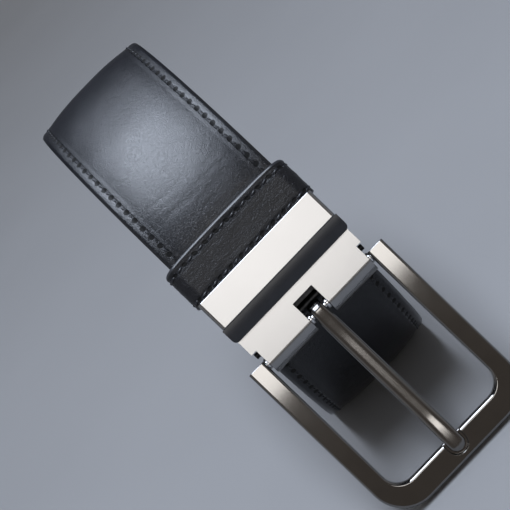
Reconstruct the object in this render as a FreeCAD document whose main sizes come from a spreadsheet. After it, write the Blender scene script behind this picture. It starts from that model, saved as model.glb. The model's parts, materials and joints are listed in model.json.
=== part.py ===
import FreeCAD, Part
import math
import os
from FreeCAD import Placement, Rotation, Vector

# A gentlemen's dress belt, rolled up and standing on its rim, with its buckle run straight down
# in front so that the end bar of the buckle rests on the same surface as the roll.
#
# Local frame of every sub-part: X across the belt, -Y along the belt towards the buckle's end,
# +Z out of the belt's face. Z = 0 is the face of the strap, and Y = 0 is where the straight
# buckle stretch leaves the roll. One placement stands the whole belt up.

doc = FreeCAD.newDocument("leather_belt")
sheet = doc.addObject("Spreadsheet::Sheet", "Sizes")

SIZES = {
    # strap
    "strap_width": 35.0,
    "strap_thick": 3.8,
    "face_thick": 2.5,
    "filler_thick": 0.9,
    "filler_width": 26.0,
    "strap_length": 1150.0,
    "strap_end": 20.8,
    "tip_length": 18.0,
    "hole_radius": 2.2,
    "hole_pitch": 25.0,
    "hole_first": 80.0,
    "hole_count": 5,
    "row_inset": 2.4,
    "thread_width": 0.7,
    "thread_height": 0.12,
    # roll
    "roll_radius": 57.0,
    "first_pitch": 7.0,
    "turn_pitch": 4.3,
    # leather keeper
    "loop_width": 39.8,
    "loop_thick": 1.6,
    "loop_top": 5.8,
    "loop_bottom": 6.1,
    "loop_near": 6.9,
    "loop_length": 12.4,
    "loop_corner": 3.6,
    "loop_inner_corner": 1.0,
    "loop_row_inset": 2.0,
    "staple_width": 8.0,
    "staple_wire": 0.5,
    "staple_crown": 0.25,
    # clamp housing
    "cover_width": 37.6,
    "cover_top": 1.4,
    "cover_under": 0.2,
    "cover_back": 7.3,
    "cover_wall": 1.2,
    "cover_depth": 5.8,
    "neck_width": 34.5,
    "neck_back": 23.1,
    "neck_depth": 6.4,
    "neck_wall": 1.35,
    "nose_radius": 3.4,
    "nose_centre": 27.3,
    "nose_skin": 1.2,
    "nose_depth": 3.4,
    "slot_width": 6.4,
    "slot_back": 21.7,
    "rib_thick": 1.2,
    "rib_back": 26.0,
    "rib_depth": 4.0,
    "web_thick": 1.1,
    # metal keeper and its sleeve
    "bar_width": 38.0,
    "bar_back": 5.7,
    "bar_front": 14.05,
    "bar_thick": 1.2,
    "bar_top": 7.3,
    "leg_back": 7.4,
    "leg_thick": 1.4,
    "sleeve_front": 18.6,
    "sleeve_top": 7.0,
    "sleeve_under": 5.6,
    "sleeve_side": 1.7,
    "sleeve_proud": 0.3,
    "sleeve_corner": 1.3,
    "sleeve_crown": 6.78,
    "lip_height": 0.5,
    "liner_gap": 0.05,
    # buckle
    "axle_along": 27.4,
    "axle_depth": 1.2,
    "axle_radius": 0.75,
    "axle_length": 45.0,
    "running_gap": 0.05,
    "frame_width": 45.6,
    "arm_width": 4.8,
    "arm_back": 26.1,
    "frame_end": 77.4,
    "window_end": 70.9,
    "frame_top": 1.0,
    "frame_under": 2.8,
    "outer_corner": 9.5,
    "inner_corner": 4.8,
    "bevel_run": 1.5,
    "bevel_drop": 1.0,
    "recess_width": 5.6,
    "recess_end": 75.6,
    "recess_floor": 0.2,
    "prong_width": 4.5,
    "prong_thick": 2.4,
    "eye_radius": 2.9,
    "prong_tip": 75.0,
    "shoulder_run": 6.0,
    "shoulder_top": 0.95,
    "dip_before": 10.0,
    "dip_top": 0.75,
    "crest_before": 4.6,
    "crest_top": 2.15,
    "tip_slope_run": 2.0,
    "tip_slope_top": 1.65,
    "tip_end_top": 0.65,
    "tip_clearance": 0.15,
    "washer_radius": 1.5,
    "side_gap": 0.08,
    # clamp lever
    "pin_along": 24.3,
    "pin_depth": 4.9,
    "pin_radius": 0.8,
    "pin_length": 37.2,
    "lever_width": 31.0,
    "lever_back": 13.5,
    "lever_thick": 1.2,
    "lever_under": 5.7,
    "barrel_radius": 1.3,
    "tooth_count": 3,
    "tooth_pitch": 1.5,
    "tooth_first": 15.4,
    "tooth_gap": 0.15,
    "tooth_base": 0.9,
    "tooth_crest": 0.75,
    "tooth_inset": 1.0,
    "tooth_root": 0.05,
    # how far a cutting shape reaches past what it cuts
    "over": 1.0,
}

for row, (alias, value) in enumerate(SIZES.items(), start=1):
    sheet.set("A%d" % row, alias)
    sheet.set("B%d" % row, str(value))
    sheet.setAlias("B%d" % row, alias)
doc.recompute()


def size(alias):
    """The number in one cell of the sheet."""
    return float(sheet.get(alias))


def bound(text):
    """An expression in which every alias is read from the sheet."""
    words = text.split()
    return " ".join("Sizes." + word if word in SIZES else word for word in words)


# two places closer than this are the same place
TINY = 0.01
# how far the punch comes out of the last turn: less than the gap to the turn outside it
HOLE_OVERREACH = 0.2


# ---------------------------------------------------------------- building blocks

def box(name, x, y, z):
    """A box between two x, two y and two z values, each an expression of sheet cells."""
    made = doc.addObject("Part::Box", name)
    for side, place, (low, high) in (("Length", "x", x), ("Width", "y", y), ("Height", "z", z)):
        made.setExpression(side, bound("( %s ) - ( %s )" % (high, low)))
        made.setExpression("Placement.Base." + place, bound(low))
    return made


def cross_cylinder(name, radius, x, y, z):
    """A cylinder that lies across the belt, from one x value to another."""
    made = doc.addObject("Part::Cylinder", name)
    made.Placement = Placement(Vector(), Rotation(Vector(0, 1, 0), 90))
    made.setExpression("Radius", bound(radius))
    made.setExpression("Height", bound("( %s ) - ( %s )" % (x[1], x[0])))
    made.setExpression("Placement.Base.x", bound(x[0]))
    made.setExpression("Placement.Base.y", bound(y))
    made.setExpression("Placement.Base.z", bound(z))
    return made


def fuse(name, pieces):
    """One solid from pieces that touch."""
    made = doc.addObject("Part::MultiFuse", name)
    made.Shapes = pieces
    made.Refine = True
    return made


def cut(name, base, tool):
    """The base without the tool's space."""
    made = doc.addObject("Part::Cut", name)
    made.Base = base
    made.Tool = tool
    made.Refine = True
    return made


def both_sides(x):
    """The same stretch of x on the right and on the left of the belt's middle."""
    low, high = x
    return (low, high), ("- ( %s )" % high, "- ( %s )" % low)


def fillet(name, base, alias, wanted):
    """Rounds the edges of base that the test picks out, by the radius in one cell."""
    doc.recompute()
    radius = size(alias)
    made = doc.addObject("Part::Fillet", name)
    made.Base = base
    edges = enumerate(base.Shape.Edges, start=1)
    made.Edges = [(number, radius, radius) for number, edge in edges if wanted(edge)]
    return made


def runs_along(edge, axis):
    """Whether a straight edge is parallel to an axis."""
    if not isinstance(edge.Curve, Part.Line):
        return False
    return abs(edge.tangentAt(edge.FirstParameter).dot(axis)) > 0.999


def shape_feature(name, shape):
    """A document object that holds a shape made with Part's own functions."""
    made = doc.addObject("Part::Feature", name)
    made.Shape = shape
    return made


# ---------------------------------------------------------------- the roll

class Turn:
    """One half turn of the roll: an arc about a centre on the local Z axis."""

    def __init__(self, centre, radius, start, sweep):
        self.centre = centre
        self.radius = radius
        self.start = start
        self.sweep = sweep

    def point(self, depth, travelled):
        """The point at a depth under the face, an angle along the arc from its start."""
        angle = self.start - travelled
        reach = self.radius - depth
        return Vector(0, reach * math.cos(angle), self.centre + reach * math.sin(angle))

    def middle_radius(self):
        return self.radius - size("strap_thick") / 2


def half_turns():
    """The roll as half turns, each smaller than the last and tangent to it."""
    turns = []
    radius = size("roll_radius")
    centre = -radius
    left = size("strap_length") - size("strap_end")
    while left > TINY:
        number = len(turns)
        downward = number % 2 == 0
        start = math.pi / 2 if downward else -math.pi / 2
        sweep = min(math.pi, left / (radius - size("strap_thick") / 2))
        turns.append(Turn(centre, radius, start, sweep))
        left -= turns[-1].middle_radius() * sweep
        step = size("first_pitch" if number < 2 else "turn_pitch") / 2
        centre += -step if downward else step
        radius -= step
    return turns


TURNS = half_turns()


def layer(width, top, under):
    """A layer of the strap along its whole length, between two depths under the face."""

    def path(depth):
        run_end = Vector(0, -size("strap_end"), -depth)
        edges = [Part.LineSegment(run_end, Vector(0, 0, -depth)).toShape()]
        for turn in TURNS:
            ends = [turn.point(depth, turn.sweep * part) for part in (0, 0.5, 1)]
            edges.append(Part.Arc(*ends).toShape())
        return edges, run_end, TURNS[-1].point(depth, TURNS[-1].sweep)

    outer, outer_start, outer_end = path(top)
    inner, inner_start, inner_end = path(under)
    caps = [Part.LineSegment(outer_start, inner_start).toShape(),
            Part.LineSegment(outer_end, inner_end).toShape()]
    outline = Part.Wire(Part.__sortEdges__(outer + inner + caps))
    face = Part.Face(outline)
    face.translate(Vector(-width / 2, 0, 0))
    return face.extrude(Vector(width, 0, 0))


def station(from_tip):
    """The half turn and the angle along it at a distance back from the tip."""
    for turn in reversed(TURNS):
        span = turn.middle_radius() * turn.sweep
        if from_tip <= span:
            return turn, turn.sweep - from_tip / turn.middle_radius()
        from_tip -= span
    return TURNS[0], 0


def tail_holes():
    """The punched holes, as cylinders across the last turn of the strap only."""
    holes = []
    thick = size("strap_thick")
    for number in range(int(size("hole_count"))):
        turn, angle = station(size("hole_first") + number * size("hole_pitch"))
        inside = turn.point(thick + size("over"), angle)
        outside = turn.point(-HOLE_OVERREACH, angle)
        along = outside - inside
        holes.append(Part.makeCylinder(size("hole_radius"), along.Length, inside, along))
    return holes


def tip_trim():
    """What is cut away to round the tip: all of a block round it but a half ellipse."""
    turn = TURNS[-1]
    thick = size("strap_thick")
    half = size("strap_width") / 2
    length = size("tip_length")
    over = size("over")
    angle = turn.sweep - length / turn.middle_radius()
    root = turn.point(thick / 2, angle)
    outward = (root - Vector(0, 0, turn.centre)).normalize()
    onward = outward.cross(Vector(1, 0, 0))
    tall = size("roll_radius")
    ellipse = Part.Ellipse(Vector(), length, half).toShape()
    keep = Part.Face(Part.Wire([ellipse])).extrude(Vector(0, 0, tall))
    block = Part.makeBox(length + 2 * over, 2 * (half + over), tall, Vector(0, -half - over, 0))
    trim = block.cut(keep)
    trim.translate(Vector(0, 0, -tall / 2))
    trim.Placement = Placement(root, Rotation(onward, Vector(), outward, "XZY")).multiply(
        trim.Placement)

    def drum(radius):
        low = Vector(-half - over, 0, turn.centre)
        return Part.makeCylinder(radius, 2 * (half + over), low, Vector(1, 0, 0))

    # only the last turn's own thickness is trimmed, and a little to each side of it
    margin = 0.2
    shell = drum(turn.radius + margin).cut(drum(turn.radius - thick - margin))
    return trim.common(shell)


def thread_rows(top, under):
    """Two rows of thread in their grooves, one along each edge of the strap."""
    middle = size("strap_width") / 2 - size("row_inset")
    trim = tip_trim()
    rows = []
    for side in (-1, 1):
        row = layer(size("thread_width"), top, under)
        row.translate(Vector(side * middle, 0, 0))
        rows.append(row.cut(trim))
    return Part.makeCompound(rows)


def strap_pieces():
    """Face leather with a pocket for the filler, the filler, the lining and the thread."""
    width = size("strap_width")
    thick = size("strap_thick")
    face_under = size("face_thick")
    groove = size("thread_height")
    filler_top = face_under - size("filler_thick")
    openings = Part.makeCompound(tail_holes() + [tip_trim()])
    face_rows = thread_rows(0, groove)
    lining_rows = thread_rows(thick - groove, thick)
    filler = layer(size("filler_width"), filler_top, face_under)
    face = layer(width, 0, face_under).cut(filler).cut(openings).cut(face_rows)
    lining = layer(width, face_under, thick).cut(openings).cut(lining_rows)
    rows = Part.makeCompound(face_rows.Solids + lining_rows.Solids)
    return {
        "strap_face": shape_feature("strap_face", face),
        "strap_filler": shape_feature("strap_filler", filler.cut(openings)),
        "strap_lining": shape_feature("strap_lining", lining),
        "strap_thread": shape_feature("strap_thread", rows),
    }


# ---------------------------------------------------------------- keepers

def leather_keeper():
    """A loop of leather round the strap, with room on top for the belt's tail."""
    y = ("- loop_near", "loop_length - loop_near")
    outer = box("loop_outer", ("- loop_width / 2", "loop_width / 2"), y,
                ("- loop_bottom", "loop_top"))
    outer = fillet("loop_outer_round", outer, "loop_corner",
                   lambda edge: runs_along(edge, Vector(0, 1, 0)))
    inner = box("loop_inner",
                ("loop_thick - loop_width / 2", "loop_width / 2 - loop_thick"), y,
                ("loop_thick - loop_bottom", "loop_top - loop_thick"))
    inner = fillet("loop_inner_round", inner, "loop_inner_corner",
                   lambda edge: runs_along(edge, Vector(0, 1, 0)))
    return cut("leather_keeper", outer, inner)


def keeper_thread():
    """Two rows of thread round the keeper."""
    outer = size("loop_width") / 2
    high = size("thread_height")
    rows = []
    near = -size("loop_near")
    far = near + size("loop_length")
    inset = size("loop_row_inset")
    for middle in (near + inset, far - inset):
        low = Vector(-outer, middle - size("thread_width") / 2, -size("loop_bottom"))
        tall = size("loop_top") + size("loop_bottom")
        bare = Part.makeBox(2 * outer, size("thread_width"), tall, low)
        grown = Part.makeBox(2 * outer + 2 * high, size("thread_width"), tall + 2 * high,
                             low - Vector(high, 0, high))
        corners = [edge for edge in bare.Edges if runs_along(edge, Vector(0, 1, 0))]
        bare = bare.makeFillet(size("loop_corner"), corners)
        corners = [edge for edge in grown.Edges if runs_along(edge, Vector(0, 1, 0))]
        grown = grown.makeFillet(size("loop_corner") + high, corners)
        rows.append(grown.cut(bare))
    return shape_feature("keeper_thread", Part.makeCompound(rows))


def keeper_staple():
    """The wire staple that joins the two ends of the keeper at its back."""
    middle = ("loop_length / 2 - loop_near - staple_wire / 2",
              "loop_length / 2 - loop_near + staple_wire / 2")
    crown = box("staple_crown_wire", ("- staple_width / 2", "staple_width / 2"), middle,
                ("- loop_bottom - staple_crown", "- loop_bottom"))
    pieces = [crown]
    for number, x in enumerate(both_sides(("staple_width / 2 - staple_wire",
                                           "staple_width / 2"))):
        pieces.append(box("staple_leg_%d" % number, x, middle,
                          ("- loop_bottom - staple_crown", "loop_thick - loop_bottom")))
    return fuse("keeper_staple", pieces)


def metal_keeper():
    """The satin bar that bridges the belt's tail, on two legs that stand on the cover."""
    top = box("bar_top_plate", ("- bar_width / 2", "bar_width / 2"),
              ("- bar_front", "- bar_back"), ("bar_top - bar_thick", "bar_top"))
    pieces = [top]
    for number, x in enumerate(both_sides(("bar_width / 2 - leg_thick", "bar_width / 2"))):
        pieces.append(box("bar_leg_%d" % number, x, ("- bar_front", "- leg_back"),
                          ("cover_top", "bar_top")))
    return fuse("metal_keeper", pieces)


def keeper_sleeve():
    """The black arch in front of the metal keeper, with a liner that runs back under it."""
    half = size("bar_width") / 2 + size("sleeve_proud")
    back = -size("bar_front") - size("liner_gap")
    front = -size("sleeve_front")
    under = size("sleeve_under")
    brow = under + size("lip_height")
    top = size("sleeve_top")
    middle = Vector(-half, (back + front) / 2, size("sleeve_crown"))
    base = size("cover_top")
    over = size("over")
    corner = [Vector(-half, back, base), Vector(-half, back, top), Vector(-half, front, brow),
              Vector(-half, front, base)]
    edges = [Part.LineSegment(corner[0], corner[1]).toShape(),
             Part.Arc(corner[1], middle, corner[2]).toShape(),
             Part.LineSegment(corner[2], corner[3]).toShape(),
             Part.LineSegment(corner[3], corner[0]).toShape()]
    arch = Part.Face(Part.Wire(edges)).extrude(Vector(2 * half, 0, 0))
    plan = Part.makeBox(2 * half, back - front, top - base, Vector(-half, front, base))
    front_edges = [edge for edge in plan.Edges if runs_along(edge, Vector(0, 0, 1))
                   and abs(edge.Vertexes[0].Y - front) < TINY]
    arch = arch.common(plan.makeFillet(size("sleeve_corner"), front_edges))
    inside = half - size("sleeve_side")
    hollow = Part.makeBox(2 * inside, back - front + 2 * over, under - base + over,
                          Vector(-inside, front - over, base - over))
    bar_under = size("bar_top") - size("bar_thick") - size("liner_gap")
    liner_half = size("bar_width") / 2 - size("leg_thick") - size("liner_gap")
    liner = Part.makeBox(2 * liner_half, -size("leg_back") - back, bar_under - under,
                         Vector(-liner_half, back, under))
    return shape_feature("keeper_sleeve", arch.cut(hollow).fuse(liner).removeSplitter())


# ---------------------------------------------------------------- clamp housing

def housing_cover():
    """The flat plate with its rolled nose, side walls, ears, ribs, notches and prong slot."""
    half = "cover_width / 2"
    plate = box("cover_plate", ("- " + half, half), ("- nose_centre", "- cover_back"),
                ("cover_under", "cover_top"))
    nose_z = "cover_top - nose_radius"
    nose_round = cross_cylinder("nose_round", "nose_radius", ("- " + half, half),
                                "- nose_centre", nose_z)
    nose_core = cross_cylinder("nose_core", "nose_radius - nose_skin",
                               ("- " + half, half), "- nose_centre", nose_z)
    nose_ring = cut("nose_ring", nose_round, nose_core)
    quarter = box("nose_quarter", ("- " + half, half),
                  ("- nose_centre - nose_radius", "- nose_centre"), (nose_z, "cover_top"))
    nose = doc.addObject("Part::MultiCommon", "nose")
    nose.Shapes = [nose_ring, quarter]
    apron = box("nose_apron", ("- " + half, half),
                ("- nose_centre - nose_radius", "- nose_centre - nose_radius + nose_skin"),
                ("- nose_depth", nose_z))
    pieces = [plate, nose, apron]
    ear_front = "- nose_centre - nose_radius + nose_skin"
    parts = {
        "side_wall": (("cover_width / 2 - cover_wall", half),
                      ("- neck_back", "- cover_back"), ("- cover_depth", "cover_under")),
        "neck_web": (("neck_width / 2 - neck_wall", half),
                     ("- neck_back", "web_thick - neck_back"), ("- cover_depth", "cover_under")),
        "ear": (("neck_width / 2 - neck_wall", "neck_width / 2"),
                (ear_front, "- neck_back"), ("- neck_depth", "cover_under")),
        "rib": (("slot_width / 2", "slot_width / 2 + rib_thick"),
                (ear_front, "- rib_back"), ("- rib_depth", "cover_under")),
    }
    for name, (x, y, z) in parts.items():
        for number, side in enumerate(both_sides(x)):
            pieces.append(box("%s_%d" % (name, number), side, y, z))
    solid = fuse("cover_solid", pieces)
    far_front = "- nose_centre - nose_radius - over"
    gaps = [box("prong_slot", ("- slot_width / 2", "slot_width / 2"), (far_front, "- slot_back"),
                ("- neck_depth - over", "cover_top + over"))]
    for number, side in enumerate(both_sides(("neck_width / 2", "cover_width / 2 + over"))):
        gaps.append(box("notch_%d" % number, side, (far_front, "- neck_back"),
                        ("- neck_depth - over", "cover_top + over")))
    gaps.append(cross_cylinder("axle_bore", "axle_radius", ("- cover_width", "cover_width"),
                               "- axle_along", "- axle_depth"))
    gaps.append(cross_cylinder("pin_bore", "pin_radius", ("- cover_width", "cover_width"),
                               "- pin_along", "- pin_depth"))
    return cut("housing_cover", solid, fuse("cover_gaps", gaps))


def clamp_lever():
    """The toothed flap at the back that grips the cut end of the strap."""
    half = "lever_width / 2"
    flap = box("lever_flap", ("- " + half, half), ("- pin_along", "- lever_back"),
               ("- lever_under", "- lever_under + lever_thick"))
    barrel = cross_cylinder("lever_barrel", "barrel_radius", ("- " + half, half),
                            "- pin_along", "- pin_depth")
    pieces = [flap, barrel]
    top = -size("strap_thick") - size("tooth_gap")
    base = -size("lever_under") + size("lever_thick") - size("tooth_root")
    inset = size("tooth_inset")
    for number in range(int(size("tooth_count"))):
        near = -size("tooth_first") - number * size("tooth_pitch")
        ridge = [Vector(0, near, base), Vector(0, near - size("tooth_base"), base),
                 Vector(0, near - size("tooth_crest"), top), Vector(0, near, base)]
        tooth = Part.Face(Part.makePolygon(ridge))
        tooth.translate(Vector(inset - size("lever_width") / 2, 0, 0))
        ridge_width = size("lever_width") - 2 * inset
        pieces.append(shape_feature("tooth_%d" % number,
                                    tooth.extrude(Vector(ridge_width, 0, 0))))
    bore = cross_cylinder("lever_bore", "pin_radius + running_gap",
                          ("- cover_width", "cover_width"), "- pin_along", "- pin_depth")
    return cut("clamp_lever", fuse("lever_solid", pieces), bore)


def clamp_pin():
    """The pin of the clamp lever, whose ends show in the notches of the cover."""
    return cross_cylinder("clamp_pin", "pin_radius", ("- pin_length / 2", "pin_length / 2"),
                          "- pin_along", "- pin_depth")


# ---------------------------------------------------------------- buckle

def hinge_axle():
    """The axle through the cover's ears and ribs, the prong's eye and the frame's arms."""
    return cross_cylinder("hinge_axle", "axle_radius", ("- axle_length / 2", "axle_length / 2"),
                          "- axle_along", "- axle_depth")


def ring_pair(name, x, bore):
    """Two identical rings on the axle, one each side of the belt's middle."""
    rings = []
    low, high = x
    for side in (-1, 1):
        start = Vector(side * low, -size("axle_along"), -size("axle_depth"))
        across = Vector(side, 0, 0)
        ring = Part.makeCylinder(size("washer_radius"), high - low, start, across)
        rings.append(ring.cut(Part.makeCylinder(bore, high - low, start, across)))
    return shape_feature(name, Part.makeCompound(rings))


def buckle_frame():
    """Two arms and an end bar with a bevelled inner edge and a rest for the prong."""
    half = "frame_width / 2"
    thick = ("- frame_under", "frame_top")
    outline = box("frame_outline", ("- " + half, half), ("- frame_end", "- arm_back"), thick)
    front = -size("frame_end")

    def front_corner(edge):
        return runs_along(edge, Vector(0, 0, 1)) and abs(edge.Vertexes[0].Y - front) < TINY

    outline = fillet("frame_rounded", outline, "outer_corner", front_corner)
    inner_half = "frame_width / 2 - arm_width"
    window = box("window", ("- ( %s )" % inner_half, inner_half),
                 ("- window_end", "over - arm_back"), ("- frame_under - over", "frame_top + over"))
    window_front = -size("window_end")

    def window_corner(edge):
        return runs_along(edge, Vector(0, 0, 1)) and abs(edge.Vertexes[0].Y - window_front) < TINY

    window = fillet("window_rounded", window, "inner_corner", window_corner)
    bevel_half = size("frame_width") / 2 - size("arm_width") - size("inner_corner")
    top = size("frame_top")
    over = size("over")
    bevel_points = [Vector(-bevel_half, window_front - size("bevel_run"), top),
                    Vector(-bevel_half, window_front - size("bevel_run"), top + over),
                    Vector(-bevel_half, window_front + over, top + over),
                    Vector(-bevel_half, window_front + over, top - size("bevel_drop")),
                    Vector(-bevel_half, window_front, top - size("bevel_drop")),
                    Vector(-bevel_half, window_front - size("bevel_run"), top)]
    bevel = Part.Face(Part.makePolygon(bevel_points)).extrude(Vector(2 * bevel_half, 0, 0))
    recess = box("prong_rest", ("- recess_width / 2", "recess_width / 2"),
                 ("- recess_end", "over - window_end"), ("- recess_floor", "frame_top + over"))
    bores = cross_cylinder("arm_bores", "axle_radius + running_gap",
                           ("- frame_width", "frame_width"), "- axle_along", "- axle_depth")
    gaps = fuse("frame_gaps", [window, shape_feature("bar_bevel", bevel), recess, bores])
    return cut("buckle_frame", outline, gaps)


def prong():
    """The prong: an eye on the axle, a shaft that dips, and a tip that hooks over the bar."""
    half = size("prong_width") / 2
    thick = size("prong_thick")
    eye = Vector(-half, -size("axle_along"), -size("axle_depth"))
    eye_top = size("eye_radius") - size("axle_depth")
    shoulder = Vector(-half, eye.y - size("shoulder_run"), size("shoulder_top"))
    dip = Vector(-half, size("dip_before") - size("window_end"), size("dip_top"))
    crest = Vector(-half, size("crest_before") - size("window_end"), size("crest_top"))
    tip = -size("prong_tip")
    rest = size("tip_clearance") - size("recess_floor")
    down = Vector(0, 0, thick)
    top = [Vector(-half, eye.y, eye_top), shoulder, dip, crest,
           Vector(-half, tip + size("tip_slope_run"), size("tip_slope_top")),
           Vector(-half, tip, size("tip_end_top"))]
    tip_under = Vector(-half, tip, rest)
    bar_under = Vector(-half, -size("window_end"), rest)
    under_eye = Vector(-half, eye.y, eye_top - size("eye_radius") - size("eye_radius") / 2)
    under = [bar_under, crest - down, dip - down, shoulder - down, under_eye]
    upper = Part.BSplineCurve()
    upper.interpolate(top)
    lower = Part.BSplineCurve()
    lower.interpolate(under)
    edges = [upper.toShape(), Part.LineSegment(top[-1], tip_under).toShape(),
             Part.LineSegment(tip_under, bar_under).toShape(), lower.toShape(),
             Part.LineSegment(under_eye, top[0]).toShape()]
    side = Part.Face(Part.Wire(edges)).extrude(Vector(2 * half, 0, 0))
    across = Vector(1, 0, 0)
    eye_solid = Part.makeCylinder(size("eye_radius"), 2 * half, eye, across)
    bore_radius = size("axle_radius") + size("running_gap")
    bore = Part.makeCylinder(bore_radius, 2 * half, eye, across)
    tall = 4 * size("eye_radius")
    plan = Part.makeBox(2 * half, size("prong_tip"), tall, Vector(-half, tip, -tall / 2))
    ends = [edge for edge in plan.Edges
            if runs_along(edge, Vector(0, 0, 1)) and abs(edge.Vertexes[0].Y - tip) < TINY]
    # the two corners of the tip all but meet, and leave a narrow flat between them
    plan = plan.makeFillet(half - size("tip_clearance"), ends)
    return shape_feature("prong", side.fuse(eye_solid).cut(bore).common(plan))


# ---------------------------------------------------------------- assembly

def standing_placement():
    """Stands the belt so that the roll and the end bar touch Z = 0, centred on its box."""
    lower_radius = size("roll_radius") - size("first_pitch") / 2
    reach = size("roll_radius") + size("first_pitch") / 2 - size("frame_under")
    length = size("frame_end")
    tilt = math.asin(lower_radius / math.hypot(length, reach)) + math.atan2(reach, length)
    centre_z = lower_radius + size("first_pitch") / 2 * math.cos(tilt)
    outer = size("roll_radius")
    # Y of the roll's back and of the end bar's front corner, from the roll's centre
    back = outer
    front = -(outer + size("frame_top")) * math.sin(tilt) - length * math.cos(tilt)
    centre_y = -(back + front) / 2
    root = Vector(0, centre_y - outer * math.sin(tilt), centre_z + outer * math.cos(tilt))
    return Placement(root, Rotation(Vector(1, 0, 0), math.degrees(tilt)))


def build():
    """Makes every sub-part and stands it in place; returns them by node name."""
    slot_half = size("slot_width") / 2
    prong_half = size("prong_width") / 2
    nodes = strap_pieces()
    nodes["leather_keeper"] = leather_keeper()
    nodes["keeper_thread"] = keeper_thread()
    nodes["keeper_staple"] = keeper_staple()
    nodes["metal_keeper"] = metal_keeper()
    nodes["keeper_sleeve"] = keeper_sleeve()
    nodes["housing_cover"] = housing_cover()
    nodes["clamp_lever"] = clamp_lever()
    nodes["clamp_pin"] = clamp_pin()
    nodes["hinge_axle"] = hinge_axle()
    nodes["prong_spacers"] = ring_pair("prong_spacers", (prong_half + size("side_gap"), slot_half),
                                       size("axle_radius"))
    nodes["frame_washers"] = ring_pair(
        "frame_washers", (size("neck_width") / 2, size("frame_width") / 2
                          - size("arm_width") - size("side_gap")), size("axle_radius"))
    nodes["buckle_frame"] = buckle_frame()
    nodes["prong"] = prong()
    doc.recompute()
    stand = standing_placement()
    for name, node in nodes.items():
        node.Label = name
        local = node.Placement
        for place in ("x", "y", "z"):
            node.setExpression("Placement.Base." + place, None)
        node.Placement = stand.multiply(local)
    doc.recompute()
    return nodes


def check(nodes):
    """Stops if any object failed or any sub-part isn't a valid solid."""
    for item in doc.Objects:
        if "Invalid" in item.State or "Error" in item.State:
            raise RuntimeError("failed object: " + item.Name)
    for name, node in nodes.items():
        shape = node.Shape
        if shape.isNull() or not shape.isValid() or not shape.Solids:
            raise RuntimeError("bad shape: " + name)


NODES = build()
check(NODES)
os.makedirs("parts", exist_ok=True)
for node_name, node_object in NODES.items():
    node_object.Shape.exportStep("parts/%s.step" % node_name)
    bounds = node_object.Shape.BoundBox
    print("%-16s solids %d volume %9.1f  x %7.2f %7.2f  y %7.2f %7.2f  z %7.2f %7.2f" % (
        node_name, len(node_object.Shape.Solids), node_object.Shape.Volume, bounds.XMin,
        bounds.XMax, bounds.YMin, bounds.YMax, bounds.ZMin, bounds.ZMax))
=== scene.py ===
import json
import math

import bmesh
import bpy
import numpy as np
from mathutils import Matrix, Vector


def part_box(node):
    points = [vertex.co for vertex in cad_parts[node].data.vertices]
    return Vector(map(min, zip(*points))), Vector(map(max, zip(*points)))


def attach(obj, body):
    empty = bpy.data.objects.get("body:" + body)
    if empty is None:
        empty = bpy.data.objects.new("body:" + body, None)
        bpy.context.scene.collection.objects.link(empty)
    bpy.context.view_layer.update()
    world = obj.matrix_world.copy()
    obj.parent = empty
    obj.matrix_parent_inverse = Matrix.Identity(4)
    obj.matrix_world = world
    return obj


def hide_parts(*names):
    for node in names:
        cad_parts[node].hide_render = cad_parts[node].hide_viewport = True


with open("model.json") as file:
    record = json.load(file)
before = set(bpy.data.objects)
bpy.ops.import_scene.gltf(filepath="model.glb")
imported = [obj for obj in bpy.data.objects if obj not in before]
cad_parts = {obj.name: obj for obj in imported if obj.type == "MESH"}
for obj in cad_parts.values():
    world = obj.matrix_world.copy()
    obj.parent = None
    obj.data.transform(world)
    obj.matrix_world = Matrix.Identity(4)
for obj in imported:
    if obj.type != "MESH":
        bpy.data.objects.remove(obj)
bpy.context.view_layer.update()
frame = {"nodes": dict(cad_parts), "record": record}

MM = 0.001

# ---------------------------------------------------------------- the belt's own frame
# X across the belt, Y up along the buckle stretch, Z out of the strap's face, in millimetres.
# Y = 0 is where the buckle stretch leaves the roll, and Z = 0 is the strap's face.

RECORD = frame["record"]
MOUNTS = {mount["name"]: mount for mount in RECORD["mounts"]}
JOINTS = {joint["name"]: joint for joint in RECORD["behaviour"]["joints"]}

ACROSS = Vector((1, 0, 0))
OUTWARD = Vector(MOUNTS["keeper_face"]["axis"]).normalized()
UPWARD = OUTWARD.cross(ACROSS).normalized()
ROLL_CENTRE = Vector(JOINTS["keeper_travel"]["pos_m"])
ROLL_RADIUS = (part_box("strap_face")[1][1] - ROLL_CENTRE.y) / MM
ROOT = ROLL_CENTRE + OUTWARD * ROLL_RADIUS * MM

STRAP_WIDTH = (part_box("strap_face")[1][0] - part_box("strap_face")[0][0]) / MM
STRAP_THICK = 3.8
STRAP_LENGTH = 1150.0
STRAP_END = 20.8
FIRST_PITCH = 7.0
TURN_PITCH = 4.3
TIP_LENGTH = 18.0
HOLE_RADIUS = 2.2
HOLE_FIRST = 80.0
HOLE_PITCH = 25.0
HOLE_COUNT = 5
ROW_INSET = 2.4
STITCH_PITCH = 3.0
FIRST_STITCH = 3.0

# The leather keeper's loop: its two edges along Y, its width, and its outside in Z.
LOOP_NEAR = -6.9
LOOP_FAR = 5.5
LOOP_HALF_WIDTH = 19.9
LOOP_TOP = 5.8
LOOP_BOTTOM = -6.1
LOOP_THICK = 1.6
LOOP_CORNER = 3.6
LOOP_EDGE = 0.8
LOOP_ROW_INSET = 2.0
LOOP_STITCH_PITCH = 3.6

# Length and width of a needle slit, and the shares of them between which its edge fades.
STRAP_SLIT = (1.56, 1.3)
LOOP_SLIT = (1.6, 1.04)
SLIT_FADE = (0.75, 1.15)
SLIT_DEPTH = 0.12
SLIT_ROUGHNESS = 0.8
# The slits' colour is painted shade: nearly black, for the shadow inside each needle hole.
SLIT_SHADE_COLOUR = (0.0015, 0.0015, 0.0015)

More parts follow.
